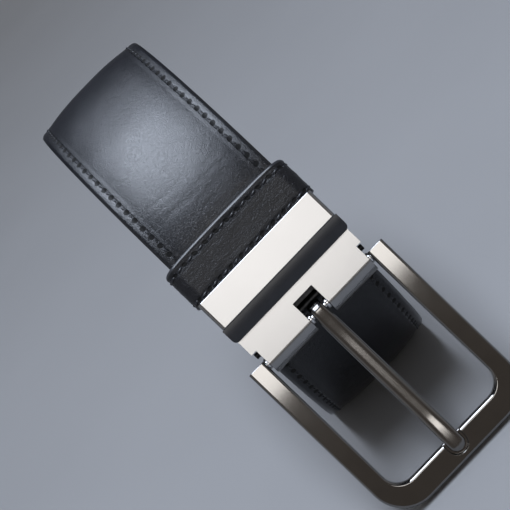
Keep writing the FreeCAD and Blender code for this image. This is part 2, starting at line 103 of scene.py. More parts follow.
# Length, thickness and slant of a stitch.
FACE_STITCH = (1.5, 0.32, 0.25)
BACK_STITCH = (2.35, 0.55, -0.14)
LOOP_STITCH = (2.4, 0.5, 0.22)

TO_WORLD = Matrix.Translation(ROOT) @ Matrix((ACROSS, UPWARD, OUTWARD)).transposed().to_4x4()
TO_WORLD = TO_WORLD @ Matrix.Scale(MM, 4)


def to_world(points):
    """World positions in metres of local points in millimetres, as an array."""
    matrix = np.array(TO_WORLD)
    return np.asarray(points, float) @ matrix[:3, :3].T + matrix[:3, 3]


# ---------------------------------------------------------------- mesh helpers

def mesh_object(name, points, faces, uvs=None, smooth=True):
    """An object from world points and faces, with one UV per point where given."""
    mesh = bpy.data.meshes.new(name)
    mesh.from_pydata([tuple(p) for p in points], [], [tuple(int(i) for i in f) for f in faces])
    mesh.validate()
    mesh.update()
    if smooth:
        mesh.polygons.foreach_set("use_smooth", [True] * len(mesh.polygons))
    if uvs is not None:
        layer = mesh.uv_layers.new(name="Place")
        corners = np.zeros(len(mesh.loops), int)
        mesh.loops.foreach_get("vertex_index", corners)
        layer.data.foreach_set("uv", np.asarray(uvs, float)[corners].ravel())
    obj = bpy.data.objects.new(name, mesh)
    bpy.context.scene.collection.objects.link(obj)
    return obj


def ring_faces(rings, around, closed_ends):
    """Quads between rings of points, and end caps where the tube isn't a closed loop."""
    index = np.arange(rings * around).reshape(rings, around)
    if closed_ends:
        low, high = index[:-1], index[1:]
    else:
        low, high = index, np.roll(index, -1, axis=0)
    quads = np.stack([low, np.roll(low, -1, 1), np.roll(high, -1, 1), high], -1).reshape(-1, 4)
    faces = [tuple(q) for q in quads]
    if closed_ends:
        faces.append(tuple(index[0][::-1]))
        faces.append(tuple(index[-1]))
    return faces


def outward_normals(obj):
    """Turns every face of a closed mesh outwards."""
    work = bmesh.new()
    work.from_mesh(obj.data)
    bmesh.ops.recalc_face_normals(work, faces=work.faces)
    work.to_mesh(obj.data)
    work.free()


def apply_modifiers(obj):
    """Keeps the mesh that the modifiers make, and drops them."""
    graph = bpy.context.evaluated_depsgraph_get()
    graph.update()
    made = bpy.data.meshes.new_from_object(obj.evaluated_get(graph))
    obj.modifiers.clear()
    obj.data = made


def coat(obj, around, materials, on_edge):
    """Gives a ringed mesh its materials: the second one on the columns that are edges."""
    for material in materials:
        obj.data.materials.append(material)
    chosen = [int(on_edge[face.index % around]) if len(face.vertices) == 4 else 1
              for face in obj.data.polygons]
    obj.data.polygons.foreach_set("material_index", chosen)


def place(obj, body, slot, material, *nodes):
    """Rides on a body, takes a material, and stands for its CAD nodes. The slot is not used."""
    if material:
        obj.data.materials.clear()
        obj.data.materials.append(material)
    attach(obj, body)
    if nodes:
        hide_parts(*nodes)
    return obj


def cad_copy(node):
    """A CAD node's mesh in local millimetres, with its flat faces whole again."""
    source = frame["nodes"][node]
    mesh = source.data.copy()
    mesh.transform(TO_WORLD.inverted() @ source.matrix_world)
    work = bmesh.new()
    work.from_mesh(mesh)
    bpy.data.meshes.remove(mesh)
    bmesh.ops.remove_doubles(work, verts=work.verts, dist=0.002)
    bmesh.ops.dissolve_limit(work, angle_limit=math.radians(0.5), verts=work.verts,
                             edges=work.edges)
    bmesh.ops.recalc_face_normals(work, faces=work.faces)
    return work


def rounded(work, wanted, radius, segments):
    """Rounds the edges that a test of their two end points picks out."""
    edges = [edge for edge in work.edges if wanted(edge.verts[0].co, edge.verts[1].co)]
    bmesh.ops.bevel(work, geom=edges, offset=radius, offset_type="OFFSET", segments=segments,
                    profile=0.5, affect="EDGES", clamp_overlap=True)


def world_object(name, work):
    """A world object from local millimetre work."""
    mesh = bpy.data.meshes.new(name)
    work.to_mesh(mesh)
    work.free()
    mesh.transform(TO_WORLD)
    obj = bpy.data.objects.new(name, mesh)
    bpy.context.scene.collection.objects.link(obj)
    return obj


def cut_away(obj, tool):
    """Adds a modifier that cuts one object out of another."""
    cut = obj.modifiers.new("cut", "BOOLEAN")
    cut.operation = "DIFFERENCE"
    cut.solver = "EXACT"
    cut.object = tool


def metal_piece(name, work, width, segments, tools=()):
    """A world object from local work: cut by tools, edges eased, flat faces kept flat."""
    obj = world_object(name, work)
    obj.data.polygons.foreach_set("use_smooth", [True] * len(obj.data.polygons))
    for tool in tools:
        cut_away(obj, tool)
    bevel = obj.modifiers.new("bevel", "BEVEL")
    bevel.width = width * MM
    bevel.segments = segments
    bevel.limit_method = "ANGLE"
    bevel.angle_limit = math.radians(35)
    bevel.face_strength_mode = "FSTR_AFFECTED"
    normals = obj.modifiers.new("normals", "WEIGHTED_NORMAL")
    normals.weight = 100
    normals.use_face_influence = True
    apply_modifiers(obj)
    for tool in tools:
        bpy.data.objects.remove(tool)
    return obj


# ---------------------------------------------------------------- material helpers

class Recipe:
    """A node material: a Principled shader and short ways to add textures to it."""

    def __init__(self, name, **values):
        self.material = bpy.data.materials.new(name)
        self.material.use_nodes = True
        self.nodes = self.material.node_tree.nodes
        self.links = self.material.node_tree.links
        self.shader = self.nodes["Principled BSDF"]
        coordinates = self.nodes.new("ShaderNodeTexCoord")
        self.in_mm = self.scaled(coordinates.outputs["Object"], (1 / MM,) * 3)
        for key, value in values.items():
            self.set(key.replace("_", " ").title().replace("Ior", "IOR"), value)

    def set(self, socket, value):
        """Sets one of the shader's own sockets to a value or a link."""
        target = self.shader.inputs[socket]
        if isinstance(value, bpy.types.NodeSocket):
            self.links.new(value, target)
        elif hasattr(value, "__len__") and len(value) == 3 and len(target.default_value) == 4:
            target.default_value = (*value, 1)
        else:
            target.default_value = value

    def node(self, kind, inputs=(), output=0, **settings):
        """A new node with its settings and inputs; returns one of its outputs."""
        made = self.nodes.new("ShaderNode" + kind)
        for key, value in settings.items():
            setattr(made, key, value)
        for key, value in dict(inputs).items():
            if isinstance(value, bpy.types.NodeSocket):
                self.links.new(value, made.inputs[key])
            else:
                made.inputs[key].default_value = value
        return made.outputs[output]

    def scaled(self, vector, scale):
        """A vector multiplied by a scale on each axis."""
        return self.node("VectorMath", {0: vector, 1: scale}, operation="MULTIPLY")

    def noise(self, scale, detail=3.0, roughness=0.55, distortion=0.0, vector=None):
        """Smooth noise with that many features to a millimetre."""
        return self.node("TexNoise", {"Vector": vector or self.in_mm, "Scale": scale,
                                      "Detail": detail, "Roughness": roughness,
                                      "Distortion": distortion})

    def cells(self, scale, vector):
        """Distance within soft round cells, that many to a millimetre."""
        return self.node("TexVoronoi", {"Vector": vector, "Scale": scale, "Smoothness": 0.35},
                         output="Distance", feature="SMOOTH_F1")

    def math(self, operation, a, b=0.0, c=0.0, clamp=False):
        """A sum, product or other operation on up to three values."""
        return self.node("Math", {0: a, 1: b, 2: c}, operation=operation, use_clamp=clamp)

    def span(self, value, low, high, to_low=0.0, to_high=1.0):
        """Maps one range to another, clamped and smooth."""
        return self.node("MapRange", {"Value": value, "From Min": low, "From Max": high,
                                      "To Min": to_low, "To Max": to_high},
                         interpolation_type="SMOOTHSTEP")

    def blend(self, amount, a, b):
        """A colour between two colours."""
        made = self.nodes.new("ShaderNodeMix")
        made.data_type = "RGBA"
        self.links.new(amount, made.inputs[0])
        for socket, value in ((made.inputs[6], a), (made.inputs[7], b)):
            if isinstance(value, bpy.types.NodeSocket):
                self.links.new(value, socket)
            else:
                socket.default_value = (*value, 1)
        return made.outputs[2]

    def bump(self, height, distance, normal=None):
        """A bump of that height in millimetres, on top of another bump where given."""
        inputs = {"Height": height, "Distance": distance * MM}
        if normal is not None:
            inputs["Normal"] = normal
        return self.node("Bump", inputs)

    def place_axes(self):
        """Across and along the piece in millimetres, from its Place UVs."""
        uv = self.node("UVMap", uv_map="Place")
        split = self.nodes.new("ShaderNodeSeparateXYZ")
        self.links.new(uv, split.inputs[0])
        across = self.math("MULTIPLY", split.outputs[0], 1 / MM)
        along = self.math("MULTIPLY", split.outputs[1], 1 / MM)
        return across, along


def leather(name, dark, light, grain, relief, roughness, wrinkle=0.45, crease=1.6):
    """Grained leather: pebbles, wrinkles, fine pores, soft creases and an uneven finish."""
    recipe = Recipe(name, specular_ior_level=0.5, coat_weight=0.12, coat_roughness=0.25)
    drift = recipe.node("VectorMath", {0: recipe.in_mm, 1: recipe.node(
        "TexNoise", {"Vector": recipe.in_mm, "Scale": 1.3, "Detail": 2.0}, output=1)},
        operation="ADD")
    pebbles = recipe.cells(grain, vector=drift)
    wrinkled = recipe.noise(grain * 0.55, 4.0, 0.6, 0.8, vector=recipe.scaled(
        recipe.in_mm, (wrinkle, 1.0, 1.0)))
    folds = recipe.noise(0.28, 3.0, 0.5, 0.6)
    patches = recipe.noise(0.05, 3.0)
    pores = recipe.noise(5.5, 2.0)
    recipe.set("Base Color", recipe.blend(recipe.span(patches, 0.3, 0.7), dark, light))
    rough = recipe.math("MULTIPLY_ADD", patches, 0.12, roughness - 0.06)
    recipe.set("Roughness", recipe.math("MULTIPLY_ADD", pores, 0.08, rough))
    height = recipe.math("MULTIPLY_ADD", wrinkled, 0.9, recipe.math("MULTIPLY", pebbles, -0.5))
    height = recipe.math("MULTIPLY_ADD", pores, 0.2, height)
    recipe.height = recipe.math("MULTIPLY_ADD", folds, crease, height)
    recipe.relief = relief
    recipe.set("Normal", recipe.bump(recipe.height, relief))
    return recipe


def pierce(recipe, row_at, pitch, phase, slant, slit):
    """Needle slits along the rows: one between every two stitches, sunk by a bump, made dull, and
    darkened as painted shade for the inside of each hole.
    """
    across, along = recipe.place_axes()
    row = row_at(recipe, across)
    turn = recipe.math("FRACT", recipe.math("ADD", recipe.math("DIVIDE", along, pitch), phase))
    run = recipe.math("MULTIPLY", recipe.math("SUBTRACT", turn, 0.5), pitch)
    turned_run = recipe.math("MULTIPLY_ADD", row, math.sin(slant),
                             recipe.math("MULTIPLY", run, math.cos(slant)))
    turned_row = recipe.math("MULTIPLY_ADD", run, -math.sin(slant),
                             recipe.math("MULTIPLY", row, math.cos(slant)))
    long_way = recipe.math("DIVIDE", turned_run, slit[0] / 2)
    short_way = recipe.math("DIVIDE", turned_row, slit[1] / 2)
    reach = recipe.math("SQRT", recipe.math("ADD", recipe.math("MULTIPLY", long_way, long_way),
                                            recipe.math("MULTIPLY", short_way, short_way)))
    # Painted shade: the slit's mask darkens the leather's colour to stand in for the shadow
    # inside the hole.
    slit_shade = recipe.span(reach, *SLIT_FADE, 1.0, 0.0)
    colour = recipe.shader.inputs["Base Color"].links[0].from_socket
    recipe.set("Base Color", recipe.blend(slit_shade, colour, SLIT_SHADE_COLOUR))
    rough = recipe.shader.inputs["Roughness"].links[0].from_socket
    recipe.set("Roughness", recipe.math("MULTIPLY_ADD", slit_shade, SLIT_ROUGHNESS, rough, clamp=True))
    pit = recipe.bump(recipe.math("SUBTRACT", 0.0, slit_shade), SLIT_DEPTH)
    recipe.set("Normal", recipe.bump(recipe.height, recipe.relief, normal=pit))
    return recipe.material


def strap_leather():
    """The strap's face leather, with its two rows of needle slits, darkened as painted shade."""
    recipe = leather("strap_face_leather", (0.0042, 0.0048, 0.007), (0.0075, 0.0082, 0.0115),
                     grain=4.2, relief=0.07, roughness=0.25, crease=0.6)
    return pierce(recipe, lambda r, across: r.math(
        "SUBTRACT", r.math("ABSOLUTE", across), STRAP_WIDTH / 2 - ROW_INSET),
        STITCH_PITCH, phase=0.0, slant=0.6, slit=STRAP_SLIT)


def keeper_leather(pitch):
    """The keeper's leather, coarser, with a row of needle slits along each edge, darkened as
    painted shade.
    """
    recipe = leather("keeper_leather", (0.004, 0.0043, 0.0062), (0.007, 0.0073, 0.0098),
                     grain=2.6, relief=0.18, roughness=0.36, wrinkle=0.22)
    recipe.set("Specular IOR Level", 0.36)
    middle = (LOOP_NEAR + LOOP_FAR) / 2
    half = (LOOP_FAR - LOOP_NEAR) / 2 - LOOP_ROW_INSET
    return pierce(recipe, lambda r, across: r.math("SUBTRACT", r.math(
        "ABSOLUTE", r.math("SUBTRACT", across, middle)), half),
        pitch, phase=0.5, slant=0.5, slit=LOOP_SLIT)


def painted_edge():
    """Smooth edge paint, a little uneven where it was sanded between coats."""
    recipe = Recipe("painted_edge", specular_ior_level=0.6)
    haze = recipe.noise(0.6, 4.0)
    recipe.set("Base Color", recipe.blend(haze, (0.014, 0.0145, 0.017), (0.024, 0.025, 0.03)))
    recipe.set("Roughness", recipe.math("MULTIPLY_ADD", haze, 0.16, 0.30))
    recipe.set("Normal", recipe.bump(recipe.noise(1.4, 3.0), 0.03))
    return recipe.material


def satin_metal(name, colour, roughness, streak):
    """Satin metal: fine brushing across the belt, a blasted grain and a faint mottle."""
    recipe = Recipe(name, metallic=1.0)
    lines = recipe.noise(1.0, 4.0, 0.7, vector=recipe.scaled(recipe.in_mm, (2.0, 14.0, 14.0)))
    blast = recipe.noise(7.0, 2.0)
    mottle = recipe.noise(0.12, 3.0)
    bright = tuple(share * 1.04 for share in colour)
    dull = tuple(share * 0.96 for share in colour)
    recipe.set("Base Color", recipe.blend(recipe.span(mottle, 0.3, 0.7), dull, bright))
    rough = recipe.math("MULTIPLY_ADD", mottle, 0.04, roughness - 0.03)
    recipe.set("Roughness", recipe.math("MULTIPLY_ADD", lines, 0.03, rough))
    height = recipe.math("MULTIPLY_ADD", lines, streak, recipe.math("MULTIPLY", blast, 0.4))
    recipe.set("Normal", recipe.bump(height, 0.0005))
    return recipe.material


def black_oxide():
    """Nearly black satin steel for the clamp lever and pin: painted shade for the dark slot and
    notches they are seen through, with patches that are a little lighter.
    """
    recipe = Recipe("black_oxide", metallic=1.0)
    patches = recipe.noise(0.8, 4.0)
    recipe.set("Base Color", recipe.blend(recipe.span(patches, 0.35, 0.75),
                                          (0.022, 0.022, 0.024), (0.05, 0.05, 0.053)))
    recipe.set("Roughness", recipe.math("MULTIPLY_ADD", patches, 0.15, 0.32))
    recipe.set("Normal", recipe.bump(recipe.noise(5.0, 2.0), 0.004))
    return recipe.material


def bright_steel():
    """Turned steel for the axle, pin, washers, spacers and staple."""
    recipe = Recipe("bright_steel", metallic=1.0)
    turned = recipe.noise(1.0, 2.0, vector=recipe.scaled(recipe.in_mm, (14.0, 0.6, 0.6)))
    recipe.set("Base Color", recipe.blend(turned, (0.62, 0.62, 0.63), (0.75, 0.75, 0.76)))
    recipe.set("Roughness", recipe.math("MULTIPLY_ADD", turned, 0.12, 0.16))
    recipe.set("Normal", recipe.bump(turned, 0.004))
    return recipe.material


def thread_material():
    """Waxed twisted thread."""
    recipe = Recipe("waxed_thread", specular_ior_level=0.55)
    ply = recipe.noise(2.2, 3.0, 0.6)
    recipe.set("Base Color", recipe.blend(ply, (0.006, 0.0065, 0.009), (0.014, 0.015, 0.02)))
    recipe.set("Roughness", recipe.math("MULTIPLY_ADD", ply, 0.16, 0.30))
    recipe.set("Normal", recipe.bump(recipe.noise(4.5, 2.0), 0.03))
    return recipe.material


def sleeve_black():
    """Smooth black, a little uneven, with a soft shine."""
    recipe = Recipe("sleeve_black", coat_weight=0.25, coat_roughness=0.22)
    haze = recipe.noise(0.4, 4.0)
    recipe.set("Base Color", recipe.blend(haze, (0.006, 0.007, 0.010), (0.013, 0.014, 0.019)))
    recipe.set("Roughness", recipe.math("MULTIPLY_ADD", haze, 0.14, 0.30))
    recipe.set("Normal", recipe.bump(recipe.noise(2.5, 3.0), 0.012))
    return recipe.material


# ---------------------------------------------------------------- the roll

def half_turns():
    """The roll as half turns: the centre's Z, the radius, start angle and sweep of each."""
    turns = []
    radius = ROLL_RADIUS
    centre = -radius
    left = STRAP_LENGTH - STRAP_END
    while left > 1e-6:
        down = len(turns) % 2 == 0
        middle = radius - STRAP_THICK / 2
        sweep = min(math.pi, left / middle)
        turns.append((centre, radius, math.pi / 2 if down else -math.pi / 2, sweep))
        left -= middle * sweep
        step = (FIRST_PITCH if len(turns) <= 2 else TURN_PITCH) / 2
        centre += -step if down else step
        radius -= step
    return turns


TURNS = half_turns()


def on_strap(along, across, depth):
    """Local points from places along the strap, across it and under its face."""
    along, across, depth = np.broadcast_arrays(*(np.asarray(v, float)
                                                 for v in (along, across, depth)))
    y = along - STRAP_END
    z = -depth.copy()
    start = STRAP_END
    for number, (centre, radius, angle, sweep) in enumerate(TURNS):
        middle = radius - STRAP_THICK / 2
        last = number == len(TURNS) - 1
        inside = (along > start) & ((along <= start + middle * sweep) | last)
        turned = angle - (along - start) / middle
        reach = radius - depth
        y = np.where(inside, reach * np.cos(turned), y)
        z = np.where(inside, centre + reach * np.sin(turned), z)
        start += middle * sweep
    return np.stack([across, y, z], -1)


def half_width(along):
    """Half the strap's width: full, then the half ellipse of the tip."""
    past = np.clip((np.asarray(along, float) - (STRAP_LENGTH - TIP_LENGTH)) / TIP_LENGTH, 0, 1)
    return STRAP_WIDTH / 2 * np.sqrt(1 - past ** 2)


CREASE_MIDDLE = 33.0
CREASE_REACH = 7.5
CREASE_COUNT = 26
STATION_STEP = 1.5
TIP_STATIONS = 26


def stations():
    """Places along the strap, closer together over the creases and round the tip."""
    low, high = CREASE_MIDDLE - 1.6 * CREASE_REACH, CREASE_MIDDLE + 1.8 * CREASE_REACH
    before = np.arange(0, low, STATION_STEP)
    creased = np.arange(low, high, STATION_STEP / 4)
    after = np.arange(high, STRAP_LENGTH - TIP_LENGTH, STATION_STEP)
    tip = np.sin(np.radians(np.linspace(0, 88, TIP_STATIONS)))
    return np.concatenate([before, creased, after, STRAP_LENGTH - TIP_LENGTH + TIP_LENGTH * tip])


def creases(along, across):
    """Depth of the fine cross creases where the strap bends just past the keeper."""
    rng = np.random.default_rng(5)
    total = np.zeros(np.broadcast(along, across).shape)
    for _ in range(CREASE_COUNT):
        spot = CREASE_MIDDLE + CREASE_REACH * rng.uniform(-0.9, 1.1)
        middle, reach = rng.uniform(-12, 12), rng.uniform(3, 10)
        lean, sway = rng.uniform(-0.12, 0.12), rng.uniform(0.15, 0.5)
        line = spot + lean * across + sway * np.sin(across / rng.uniform(1.6, 3.2))
        width = rng.uniform(0.35, 0.75)
        total += rng.uniform(0.3, 1.0) * np.exp(-((along - line) / width) ** 2) * np.exp(
            -((across - middle) / reach) ** 2)
    return total


CROWN_HALF = 13.4
CROWN_DEPTH = 0.88
MARGIN_SLOPE = 0.105
ROW_DIP = 0.05
ROW_SPREAD = 0.6
EDGE_RUN = 0.95
EDGE_DROP = 0.38


def face_depth(across):
    """How far the face lies under its crown: crown, sloping margin, stitch row and edge."""
    out = np.abs(across)
    share = np.clip(out / CROWN_HALF, 0, 1)
    depth = CROWN_DEPTH * (0.7 * share ** 2 + 0.3 * share ** 4)
    depth = depth + MARGIN_SLOPE * np.clip(out - CROWN_HALF, 0, None)
    depth = depth + ROW_DIP * np.exp(-((out - STRAP_WIDTH / 2 + ROW_INSET) / ROW_SPREAD) ** 2)
    edge = np.clip((out - STRAP_WIDTH / 2 + EDGE_RUN) / EDGE_RUN, 0, 1)
    return depth + EDGE_DROP * edge ** 2.2


WAVE_COUNT = 14
WAVE_SHARE = 5


def waves(along, across, seed):
    """Slow unevenness of the leather, mostly between -1 and 1."""
    rng = np.random.default_rng(seed)
    total = np.zeros(np.broadcast(along, across).shape)
    for _ in range(WAVE_COUNT):
        length_a, length_b = rng.uniform(12, 60), rng.uniform(9, 40)
        phase = rng.uniform(0, 2 * np.pi, 2)
        total += np.sin(2 * np.pi * along / length_a + phase[0]) * np.sin(
            2 * np.pi * across / length_b + phase[1])
    return total / WAVE_SHARE


# The seam between face and lining, how near the edge the paint starts, and the back's stitch row.
SEAM_DEPTH = 2.3
PAINT_REACH = 0.8
BACK_ROW_DIP = 0.12

# Wave height, crease depth and random seed of each layer.
FACE_RELIEF = (0.05, 0.028, 11)
LINING_RELIEF = (0.03, 0.0, 12)


def strap_layer(name, profile, wave_height, crease_depth, seed, materials):
    """A closed layer of the strap, swept along the roll from its cross-section."""
    along = stations()
    across, depth, on_face = (np.array(column, float) for column in zip(*profile))
    scale = half_width(along)[:, None] / (STRAP_WIDTH / 2)
    a = along[:, None] + 0 * across
    x = across * scale
    d = depth + wave_height * on_face * waves(a, x, seed) + crease_depth * on_face * creases(a, x)
    points = to_world(on_strap(a, x, d).reshape(-1, 3))
    uvs = np.stack([x, a], -1).reshape(-1, 2) * MM
    layer = mesh_object(name, points, ring_faces(len(along), len(across), True), uvs)
    beside = (on_face == 0) & (np.abs(across) > STRAP_WIDTH / 2 - PAINT_REACH)
    coat(layer, len(across), materials, beside & np.roll(beside, -1))
    return layer


def face_profile():
    """Cross-section of the face leather, from its left seam over the top to its right seam."""
    half = STRAP_WIDTH / 2
    spots = np.concatenate([
        np.linspace(0, CROWN_HALF - 1, 16), np.linspace(CROWN_HALF - 0.8, CROWN_HALF + 1.2, 11),
        np.linspace(half - ROW_INSET - 0.9, half - ROW_INSET + 0.9, 9),
        np.linspace(half - EDGE_RUN, half, 7)])
    right = [(x, d, 1) for x, d in zip(spots, face_depth(spots))]
    right += [(half + 0.10, 1.75, 0), (half + 0.13, 2.0, 0),
              (half + 0.06, SEAM_DEPTH - 0.06, 0), (half - 0.10, SEAM_DEPTH, 0)]
    left = [(-x, d, face) for x, d, face in reversed(right[1:])]
    return left + right + [(x, SEAM_DEPTH, 0) for x in (8, 0, -8)]


def lining_profile():
    """Cross-section of the lining, from its left seam under the back to its right seam."""
    half = STRAP_WIDTH / 2
    row = half - ROW_INSET
    right = [(0, STRAP_THICK, 1), (6, STRAP_THICK, 1), (11, STRAP_THICK, 1)]
    right += [(row + dx, STRAP_THICK - dip, 1)
              for dx, dip in ((-0.8, 0), (-0.4, 0.05), (0, BACK_ROW_DIP), (0.4, 0.05), (0.8, 0))]
    right += [(half - 0.7, STRAP_THICK, 0), (half - 0.3, STRAP_THICK - 0.12, 0),
              (half - 0.03, STRAP_THICK - 0.42, 0), (half + 0.08, STRAP_THICK - 0.85, 0),
              (half + 0.10, SEAM_DEPTH + 0.25, 0), (half + 0.04, SEAM_DEPTH + 0.06, 0),
              (half - 0.10, SEAM_DEPTH, 0)]
    left = [(-x, d, face) for x, d, face in reversed(right[1:])]
    return left + right + [(x, SEAM_DEPTH, 0) for x in (8, 0, -8)]


# How far the punch reaches under and over the strap's middle.
PUNCH_LEVELS = (-3.2, 2.3)
PUNCH_SIDES = 28


def hole_punch():
    """Pins through the last turn of the strap, where the tail's holes are punched."""
    points, faces = [], []
    for number in range(HOLE_COUNT):
        along = STRAP_LENGTH - HOLE_FIRST - number * HOLE_PITCH
        middle, above, onward = on_strap([along, along, along + 1], [0, 0, 0],
                                         [STRAP_THICK / 2, 0, STRAP_THICK / 2])
        out = (above - middle) / np.linalg.norm(above - middle)
        run = onward - middle
        run = run / np.linalg.norm(run)
        base = len(points)
        for level in PUNCH_LEVELS:
            for side in range(PUNCH_SIDES):
                turn = 2 * math.pi * side / PUNCH_SIDES
                points.append(middle + out * level + HOLE_RADIUS * (
                    np.array([1, 0, 0]) * math.cos(turn) + run * math.sin(turn)))
        low = np.arange(PUNCH_SIDES) + base
        high = low + PUNCH_SIDES
        quads = np.stack([low, np.roll(low, -1), np.roll(high, -1), high], -1)
        faces += [*(tuple(quad) for quad in quads), tuple(low[::-1]), tuple(high)]
    punch = mesh_object("hole_punch", to_world(points), faces, smooth=False)
    outward_normals(punch)
    return punch


def build_strap(face_material, lining_material, paint):
    """Face and lining of the strap, with the holes punched through both."""
    punch = hole_punch()
    face = strap_layer("strap_face_leather", face_profile(), *FACE_RELIEF,
                       (face_material, paint))
    lining = strap_layer("strap_lining_leather", lining_profile(), *LINING_RELIEF,
                         (lining_material, paint))
    for layer in (face, lining):
        outward_normals(layer)
        cut_away(layer, punch)
        apply_modifiers(layer)
    bpy.data.objects.remove(punch)
    place(face, "belt", "face_leather", None, "strap_face", "strap_filler")
    place(lining, "belt", "lining_leather", None, "strap_lining")


# ---------------------------------------------------------------- stitching

# Shares of a stitch's thickness: its middle's rise, its ends' dip and taper, width and height.
STITCH_RISE = 0.30
STITCH_DIP = 1.1
STITCH_TAPER = 0.35
STITCH_WIDE = 1.1
STITCH_HIGH = 0.9


def stitches(name, centres, runs, outs, length, thick, slant, rings=7, sides=8):
    """One thread object: a bowed stitch at each centre, dipping into the leather at its ends."""
    t = np.linspace(-1, 1, rings)
    bow = STITCH_RISE * thick - STITCH_DIP * thick * np.abs(t) ** 3
    swell = thick / 2 * (1 - STITCH_TAPER * t ** 4)
    angle = np.arange(sides) * 2 * np.pi / sides
    along = (t * length / 2)[:, None] + 0 * angle
    side = swell[:, None] * np.cos(angle) * STITCH_WIDE
    up = bow[:, None] + swell[:, None] * np.sin(angle) * STITCH_HIGH
    cs, sn = math.cos(slant), math.sin(slant)
    local = np.stack([along * cs - side * sn, along * sn + side * cs, up], -1).reshape(-1, 3)
    sides_of = np.cross(outs, runs)
    axes = np.stack([runs, sides_of, outs], 1)
    points = centres[:, None, :] + np.einsum("pi,nij->npj", local, axes)
    one = ring_faces(rings, sides, True)
    faces = []
    for number in range(len(centres)):
        base = number * rings * sides
        faces += [tuple(i + base for i in face) for face in one]
    return mesh_object(name, to_world(points.reshape(-1, 3)), faces)


def strap_row(depth_of, outward):
    """Centres, directions and outward directions of the stitches round the strap's edge.

    outward is 1 where out of the leather is up from its face, and -1 on its back.
    """
    inset = STRAP_WIDTH / 2 - ROW_INSET
    straight = STRAP_LENGTH - TIP_LENGTH
    count = int(straight / STITCH_PITCH)
    run = np.arange(count) * STITCH_PITCH + FIRST_STITCH
    run = run[run < straight]
    tip_across, tip_along = inset, TIP_LENGTH - ROW_INSET
    fine = np.linspace(-np.pi / 2, np.pi / 2, 400)
    tx, ta = tip_across * np.sin(fine), straight + tip_along * np.cos(fine)
    done = np.concatenate([[0], np.cumsum(np.hypot(np.diff(tx), np.diff(ta)))])
    spots = np.arange(STITCH_PITCH / 2, done[-1], STITCH_PITCH)
    tip_x, tip_a = np.interp(spots, done, tx), np.interp(spots, done, ta)
    across = np.concatenate([np.full(len(run), -inset), tip_x, np.full(len(run), inset)])
    along = np.concatenate([run, tip_a, run])
    heading = np.concatenate([np.zeros(len(run)), np.arctan2(
        np.gradient(tip_x), np.gradient(tip_a)), np.zeros(len(run))])
    depth = depth_of(across)
    here = on_strap(along, across, depth)
    ahead = on_strap(along + 0.5 * np.cos(heading), across + 0.5 * np.sin(heading), depth)
    above = on_strap(along, across, depth - outward)
    runs = (ahead - here) / np.linalg.norm(ahead - here, axis=1, keepdims=True)
    outs = (above - here) / np.linalg.norm(above - here, axis=1, keepdims=True)
    return here, runs, outs


def build_strap_thread(material):
    """The face's and the lining's stitching."""
    face = stitches("strap_face_stitches", *strap_row(face_depth, 1.0), *FACE_STITCH)
    place(face, "belt", "thread", material, "strap_thread")
    back = stitches("strap_back_stitches", *strap_row(
        lambda x: STRAP_THICK - BACK_ROW_DIP + 0 * x, -1.0), *BACK_STITCH, rings=5, sides=6)
    place(back, "belt", "thread", material)


# ---------------------------------------------------------------- leather keeper

def loop_outline(count):
    """Points and outward directions round the keeper, a soft rounded rectangle, by length."""
    half_z = (LOOP_TOP - LOOP_BOTTOM) / 2
    middle = (LOOP_TOP + LOOP_BOTTOM) / 2
    corners = [(1, 1), (-1, 1), (-1, -1), (1, -1)]
    line = []
    for number, (sx, sz) in enumerate(corners):
        cx, cz = sx * (LOOP_HALF_WIDTH - LOOP_CORNER), sz * (half_z - LOOP_CORNER)
        for step in np.linspace(0, math.pi / 2, 40):
            turn = number * math.pi / 2 + step
            line.append((cx + LOOP_CORNER * math.cos(turn), cz + LOOP_CORNER * math.sin(turn)))
    line = np.array(line + line[:1])
    done = np.concatenate([[0], np.cumsum(np.hypot(*np.diff(line, axis=0).T))])
    spots = np.arange(count) * done[-1] / count
    x, z = np.interp(spots, done, line[:, 0]), np.interp(spots, done, line[:, 1])
    dx, dz = np.roll(x, -1) - np.roll(x, 1), np.roll(z, -1) - np.roll(z, 1)
    size = np.hypot(dx, dz)
    return x, z + middle, dz / size, -dx / size, spots


EDGE_BOW = 0.5
CORNER_DROP = 0.75


def bowed(y, x):
    """Where a point along the keeper lies: its far edge bows and its corners drop."""
    share = np.clip((y - LOOP_NEAR) / (LOOP_FAR - LOOP_NEAR), 0, 1)
    out = np.abs(x) / LOOP_HALF_WIDTH
    return y - share * (EDGE_BOW * out ** 2.4 + CORNER_DROP * out ** 12)


LOOP_ROW_DIP = 0.16
LOOP_ROW_SPREAD = 0.5
EDGE_SHARE = 0.3


def loop_section():
    """Cross-section of the keeper's leather: place along the belt, depth, share of the waves."""
    edge = LOOP_EDGE
    near, far = LOOP_NEAR, LOOP_FAR
    half = LOOP_THICK / 2
    outside = []
    for y in np.linspace(near + edge, far - edge, 40):
        rows = (abs(y - near - LOOP_ROW_INSET), abs(far - LOOP_ROW_INSET - y))
        dip = sum(LOOP_ROW_DIP * math.exp(-(gap / LOOP_ROW_SPREAD) ** 2) for gap in rows)
        outside.append((y, dip, 1))
    far_edge = [(far - edge + edge * math.sin(t), half - half * math.cos(t), EDGE_SHARE)
                for t in np.linspace(0.2, math.pi - 0.2, 10)]
    inside = [(y, LOOP_THICK, 0) for y in np.linspace(far - edge, near + edge, 9)]
    near_edge = [(near + edge - edge * math.sin(t), half + half * math.cos(t), EDGE_SHARE)
                 for t in np.linspace(0.2, math.pi - 0.2, 10)]
    return outside + far_edge + inside + near_edge


LOOP_STATIONS = 320
LOOP_SEED = 21
LOOP_WAVE = 0.08
LOOP_STITCH_SUNK = 0.22


